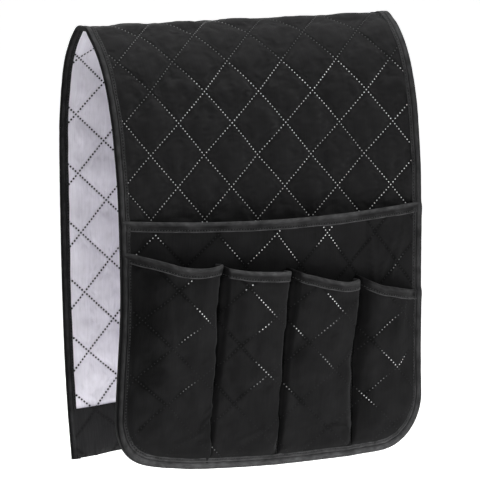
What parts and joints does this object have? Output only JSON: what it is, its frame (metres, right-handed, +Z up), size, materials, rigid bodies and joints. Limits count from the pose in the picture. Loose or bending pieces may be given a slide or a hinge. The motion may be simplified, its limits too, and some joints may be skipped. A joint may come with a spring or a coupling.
{
  "type": "sofa armrest organizer",
  "caption": "Quilted fabric organizer that drapes over a sofa armrest, with one wide pocket and a row of small bound pockets on its front flap.",
  "frame": {"origin": "on the underside of the lining at the top of the arch, midway across the strip, where the organizer rests on the armrest", "axes": "+Z up, +X along the armrest to the right as seen from the front, -Y towards the front where the pockets are"},
  "size_m": [0.32, 0.1406, 0.4008],
  "materials": {
    "quilted_face_fabric": "matte woven polyester, diamond quilting",
    "facing_fabric": "matte woven polyester, diamond quilting",
    "wadding": "soft loose polyester fibre",
    "lining_fabric": "matte brushed woven lining with a dotted diamond print of quilting stitches",
    "pocket_fabric": "matte woven polyester, diamond quilting",
    "binding_tape": "slightly shiny folded bias tape",
    "seam_thread": "sewing thread"
  },
  "bodies": {
    "crown": {"crown_face_fabric": "quilted_face_fabric", "crown_wadding": "wadding", "crown_lining": "lining_fabric", "crown_binding_left": "binding_tape", "crown_binding_right": "binding_tape"},
    "front_flap": {"front_face_fabric": "quilted_face_fabric", "front_wadding": "wadding", "front_lining": "lining_fabric", "front_binding": "binding_tape", "large_pocket_panel": "pocket_fabric", "large_pocket_binding": "binding_tape", "small_pocket_1": "pocket_fabric", "small_pocket_binding_1": "binding_tape", "small_pocket_2": "pocket_fabric", "small_pocket_binding_2": "binding_tape", "small_pocket_3": "pocket_fabric", "small_pocket_binding_3": "binding_tape", "small_pocket_4": "pocket_fabric", "small_pocket_binding_4": "binding_tape", "pocket_divider_seam_1": "seam_thread", "pocket_divider_seam_2": "seam_thread", "pocket_divider_seam_3": "seam_thread"},
    "rear_flap": {"rear_face_fabric": "quilted_face_fabric", "rear_wadding": "wadding", "rear_lining": "lining_fabric", "rear_binding_left": "binding_tape", "rear_binding_right": "binding_tape"},
    "tuck_hem": {"hem_face_fabric": "quilted_face_fabric", "hem_wadding": "wadding", "hem_facing": "facing_fabric", "hem_binding_left": "binding_tape", "hem_binding_right": "binding_tape"}
  },
  "joints": [
    {"name": "front_fold", "type": "hinge", "parent": "crown", "child": "front_flap", "pos_m": [0, -0.05879, -0.09129], "axis": [-1, 0, 0], "range_deg": [-5, 100]},
    {"name": "rear_fold", "type": "hinge", "parent": "crown", "child": "rear_flap", "pos_m": [0, 0.0418, -0.09139], "axis": [1, 0, 0], "range_deg": [-4, 100]},
    {"name": "hem_fold", "type": "hinge", "parent": "rear_flap", "child": "tuck_hem", "pos_m": [0, 0.02695, -0.34808], "axis": [1, 0, 0], "range_deg": [-8, 90]}
  ]
}
